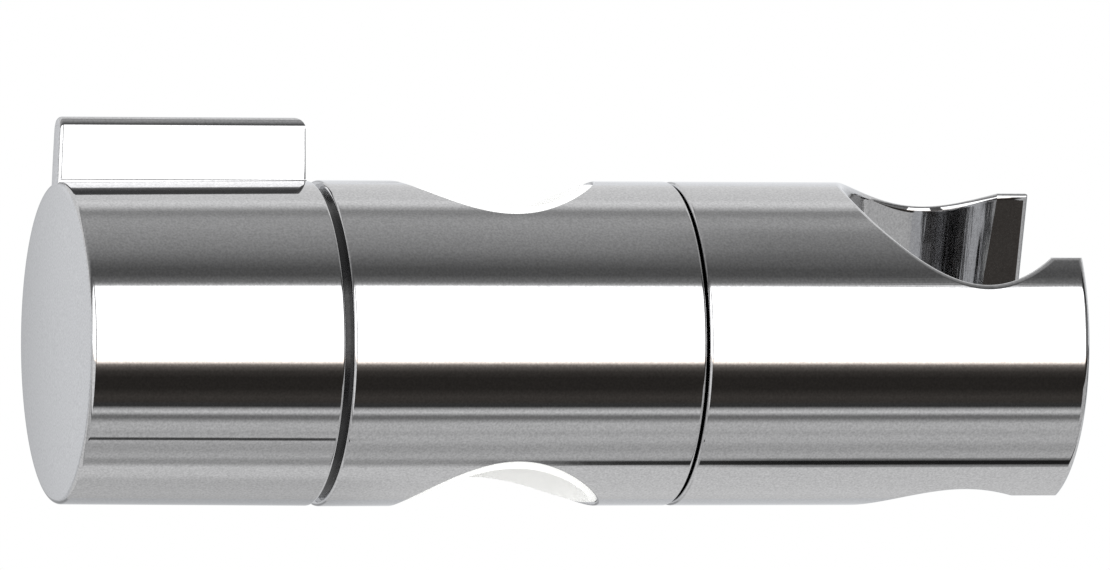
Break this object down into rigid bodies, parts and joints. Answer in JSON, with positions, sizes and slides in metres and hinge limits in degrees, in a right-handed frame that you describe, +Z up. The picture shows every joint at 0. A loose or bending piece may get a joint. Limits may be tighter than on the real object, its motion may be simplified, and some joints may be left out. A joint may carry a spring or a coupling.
{
  "type": "shower rail slider",
  "caption": "Round slider that clamps on an upright shower rail with a lever knob and holds a handset in a tilting tapered fork.",
  "frame": {"origin": "where the axis of the rail bore crosses the axis of the round body", "axes": "+Z up along the rail bore, +X along the body towards the handset holder, -Y towards the user"},
  "size_m": [0.1028, 0.0324, 0.0387],
  "materials": {
    "plated_chrome": "polished",
    "black_nylon": "moulded, satin",
    "white_nylon": "moulded, satin",
    "grey_acetal": "moulded, satin",
    "turned_brass": "turned",
    "zinc_steel": "zinc plated",
    "black_rubber": "moulded, matt"
  },
  "bodies": {
    "body": {"body_shell": "plated_chrome", "body_core": "black_nylon", "upper_rail_bush": "white_nylon", "lower_rail_bush": "white_nylon", "bearing_plate": "black_nylon", "plate_screws": "zinc_steel", "gap_ring": "black_nylon", "knob_stop_pin": "zinc_steel", "thrust_washer": "zinc_steel", "pivot_insert": "turned_brass", "friction_ring": "grey_acetal", "tilt_stop_pin": "zinc_steel", "pivot_bolt": "zinc_steel", "bolt_washer": "zinc_steel", "wave_spring": "zinc_steel"},
    "lever_knob": {"knob_shell": "plated_chrome", "knob_core": "black_nylon", "drive_screw": "turned_brass", "hub_screw": "zinc_steel", "journal_seal": "black_rubber"},
    "clamp_shoe": {"shoe_plunger": "turned_brass", "shoe_pad": "black_rubber"},
    "handset_holder": {"holder_shell": "plated_chrome", "pivot_bush": "grey_acetal", "cover_plug": "grey_acetal"}
  },
  "joints": [
    {"name": "knob_turn", "type": "hinge", "parent": "body", "child": "lever_knob", "pos_m": [-0.0189, 0, 0], "axis": [1, 0, 0], "range_deg": [0, 90]},
    {"name": "shoe_slide", "type": "slide", "parent": "body", "child": "clamp_shoe", "axis": [1, 0, 0], "range_m": [0, 0.00101]},
    {"name": "holder_tilt", "type": "hinge", "parent": "body", "child": "handset_holder", "pos_m": [0.01825, 0, 0], "axis": [1, 0, 0], "range_deg": [-35, 35]}
  ],
  "couplings": [
    {"joint": "shoe_slide", "follows": "knob_turn", "m_per_rad": 0.00063662}
  ]
}
